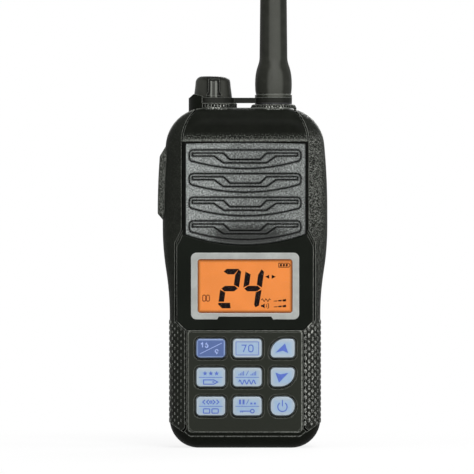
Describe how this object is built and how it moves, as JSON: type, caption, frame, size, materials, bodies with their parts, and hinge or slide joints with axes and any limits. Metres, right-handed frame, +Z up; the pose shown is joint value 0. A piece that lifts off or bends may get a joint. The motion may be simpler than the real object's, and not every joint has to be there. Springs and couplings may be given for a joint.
{
  "type": "handheld vhf marine radio",
  "caption": "Handheld marine radio with a lit channel display, keypad, slotted speaker grille, side talk pad, tethered screw cap, whip antenna, tilting battery and spring belt clip.",
  "frame": {"origin": "middle of the flat base, on the surface that the radio stands on, half way between its flat front and its flat back", "axes": "+X to the right seen from the front, +Y from the front to the back, +Z up along the antenna"},
  "size_m": [0.0676, 0.0494, 0.2991],
  "materials": {
    "casing": "fine moulded texture",
    "grip": "leather grain above, diamond studs below",
    "plate": "dark grey with a fine metallic sparkle",
    "panel": "polished",
    "silver": "satin silver",
    "window": "clear, polished",
    "display": "lit orange",
    "segments": "dark liquid crystal",
    "light_guide": "frosted",
    "white_plastic": "plain",
    "silicone": "smooth",
    "key": "translucent pale blue",
    "key_blue": "blue face in a pale rim",
    "steel": "bright",
    "board": "solder mask",
    "cast": "cast",
    "paper": "pressed paper",
    "cloth": "fine mesh",
    "magnet": "ground",
    "dark_plastic": "plain",
    "cell": "wrapped",
    "gold": "plated",
    "seal": "smooth",
    "strap": "smooth",
    "antenna": "satin",
    "dark_metal": "black plated",
    "copper": "enamelled"
  },
  "bodies": {
    "radio": {"front_casing": "casing", "rear_casing": "casing", "casing_gasket": "seal", "casing_screws": "steel", "grip_left": "grip", "grip_right": "grip", "grille_plate": "plate", "speaker_mesh": "cloth", "speaker_frame": "steel", "speaker_cone": "paper", "speaker_magnet": "magnet", "microphone": "cast", "display_panel": "panel", "display_frame": "silver", "display_window": "window", "display_glass": "display", "display_segments": "segments", "display_backlight": "light_guide", "display_holder": "white_plastic", "keypad_mat": "silicone", "key_domes": "steel", "main_board": "board", "board_screws": "steel", "shield_cans": "steel", "chassis": "cast", "talk_switch": "dark_plastic", "terminal_block": "dark_plastic", "terminal_springs": "gold", "latch_spring": "steel", "jack_socket": "gold", "accessory_jack": "dark_plastic", "cap_tether": "strap", "antenna_socket": "gold"},
    "battery": {"battery_case": "casing", "battery_cover": "casing", "battery_cells": "cell", "battery_contacts": "gold", "clip_bracket": "dark_plastic", "clip_pin": "steel", "clip_spring": "steel", "clip_screws": "steel"},
    "belt_clip": {"belt_clip": "dark_plastic"},
    "battery_latch": {"battery_latch": "dark_plastic"},
    "talk_pad": {"talk_pad": "grip"},
    "cap_seal": {"jack_cap_seal": "seal"},
    "jack_cap": {"jack_cap": "casing"},
    "antenna_seal": {"antenna_seal": "seal"},
    "antenna": {"antenna_ferrule": "dark_metal", "antenna_sleeve": "antenna", "antenna_core": "white_plastic", "antenna_coil": "copper"},
    "key_sixteen": {"key_sixteen": "key_blue"},
    "key_channel": {"key_channel": "key"},
    "key_up": {"key_up": "key"},
    "key_favourite": {"key_favourite": "key"},
    "key_volume": {"key_volume": "key"},
    "key_down": {"key_down": "key"},
    "key_scan": {"key_scan": "key"},
    "key_lock": {"key_lock": "key"},
    "key_power": {"key_power": "key"}
  },
  "joints": [
    {"name": "battery_tilt", "type": "hinge", "parent": "radio", "child": "battery", "pos_m": [0, 0.0165, 0.1049], "axis": [1, 0, 0], "range_deg": [0, 10]},
    {"name": "belt_clip_swing", "type": "hinge", "parent": "battery", "child": "belt_clip", "pos_m": [0, 0.0235, 0.088], "axis": [1, 0, 0], "range_deg": [0, 14], "stiffness_Nm_per_rad": 0.25, "springref_deg": -14.32, "deforming": ["clip_spring"]},
    {"name": "battery_latch_slide", "type": "slide", "parent": "radio", "child": "battery_latch", "axis": [0, 0, -1], "range_m": [0, 0.0016], "stiffness_N_per_m": 400, "springref_m": -0.001, "deforming": ["latch_spring"]},
    {"name": "talk_press", "type": "slide", "parent": "radio", "child": "talk_pad", "axis": [1, 0, 0], "range_m": [0, 0.001], "stiffness_N_per_m": 3000, "springref_m": -0.0003},
    {"name": "cap_lift", "type": "slide", "parent": "radio", "child": "cap_seal", "axis": [0, 0, 1], "range_m": [0, 0.006]},
    {"name": "cap_turn", "type": "hinge", "parent": "cap_seal", "child": "jack_cap", "pos_m": [-0.0128, -0.006, 0.1395], "axis": [0, 0, 1], "range_deg": [0, 1441]},
    {"name": "antenna_lift", "type": "slide", "parent": "radio", "child": "antenna_seal", "axis": [0, 0, 1], "range_m": [0, 0.006]},
    {"name": "antenna_turn", "type": "hinge", "parent": "antenna_seal", "child": "antenna", "pos_m": [0.01135, -0.006, 0.1395], "axis": [0, 0, 1], "range_deg": [0, 2161]},
    {"name": "key_sixteen_press", "type": "slide", "parent": "radio", "child": "key_sixteen", "axis": [0, 1, 0], "range_m": [0, 0.0006], "stiffness_N_per_m": 2000, "springref_m": -0.0002},
    {"name": "key_channel_press", "type": "slide", "parent": "radio", "child": "key_channel", "axis": [0, 1, 0], "range_m": [0, 0.0006], "stiffness_N_per_m": 2000, "springref_m": -0.0002},
    {"name": "key_up_press", "type": "slide", "parent": "radio", "child": "key_up", "axis": [0, 1, 0], "range_m": [0, 0.0006], "stiffness_N_per_m": 2000, "springref_m": -0.0002},
    {"name": "key_favourite_press", "type": "slide", "parent": "radio", "child": "key_favourite", "axis": [0, 1, 0], "range_m": [0, 0.0006], "stiffness_N_per_m": 2000, "springref_m": -0.0002},
    {"name": "key_volume_press", "type": "slide", "parent": "radio", "child": "key_volume", "axis": [0, 1, 0], "range_m": [0, 0.0006], "stiffness_N_per_m": 2000, "springref_m": -0.0002},
    {"name": "key_down_press", "type": "slide", "parent": "radio", "child": "key_down", "axis": [0, 1, 0], "range_m": [0, 0.0006], "stiffness_N_per_m": 2000, "springref_m": -0.0002},
    {"name": "key_scan_press", "type": "slide", "parent": "radio", "child": "key_scan", "axis": [0, 1, 0], "range_m": [0, 0.0006], "stiffness_N_per_m": 2000, "springref_m": -0.0002},
    {"name": "key_lock_press", "type": "slide", "parent": "radio", "child": "key_lock", "axis": [0, 1, 0], "range_m": [0, 0.0006], "stiffness_N_per_m": 2000, "springref_m": -0.0002},
    {"name": "key_power_press", "type": "slide", "parent": "radio", "child": "key_power", "axis": [0, 1, 0], "range_m": [0, 0.0006], "stiffness_N_per_m": 2000, "springref_m": -0.0002}
  ],
  "couplings": [
    {"joint": "cap_turn", "follows": "cap_lift", "rad_per_m": 4188.8},
    {"joint": "antenna_turn", "follows": "antenna_lift", "rad_per_m": 6283.2}
  ]
}
